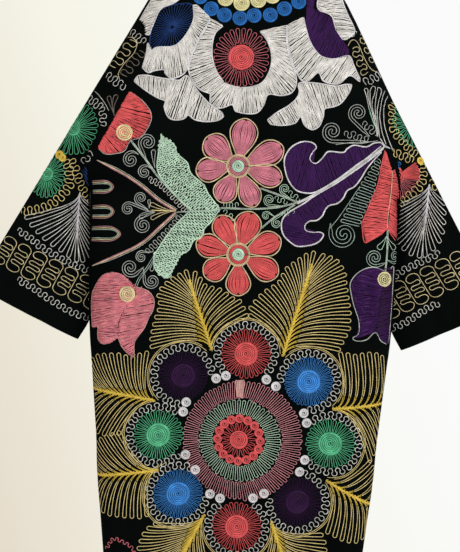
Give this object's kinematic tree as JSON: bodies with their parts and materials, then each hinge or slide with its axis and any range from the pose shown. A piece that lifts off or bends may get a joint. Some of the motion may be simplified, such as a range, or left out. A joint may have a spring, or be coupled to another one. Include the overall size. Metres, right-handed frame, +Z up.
{
  "type": "suzani robe on a hanger",
  "caption": "Long loose robe with wide sleeves and an open front, embroidered all over, hung on a plain wooden hanger with a wire hook.",
  "frame": {"origin": "the inside top of the hook, where it rests on a rail or peg", "axes": "+Z up along the robe, +X towards the wearer's right, the back faces -Y and the open front +Y"},
  "size_m": [0.992, 0.0908, 1.3555],
  "materials": {
    "black_cloth": "matte, with a faint sheen",
    "wood": "satin varnish",
    "steel_wire": "bright"
  },
  "bodies": {
    "root": {"back_panel": "black_cloth", "front_left": "black_cloth", "front_right": "black_cloth", "sleeve_left": "black_cloth", "sleeve_right": "black_cloth", "hanger_arms": "wood", "hanger_hook": "steel_wire"}
  },
  "joints": []
}
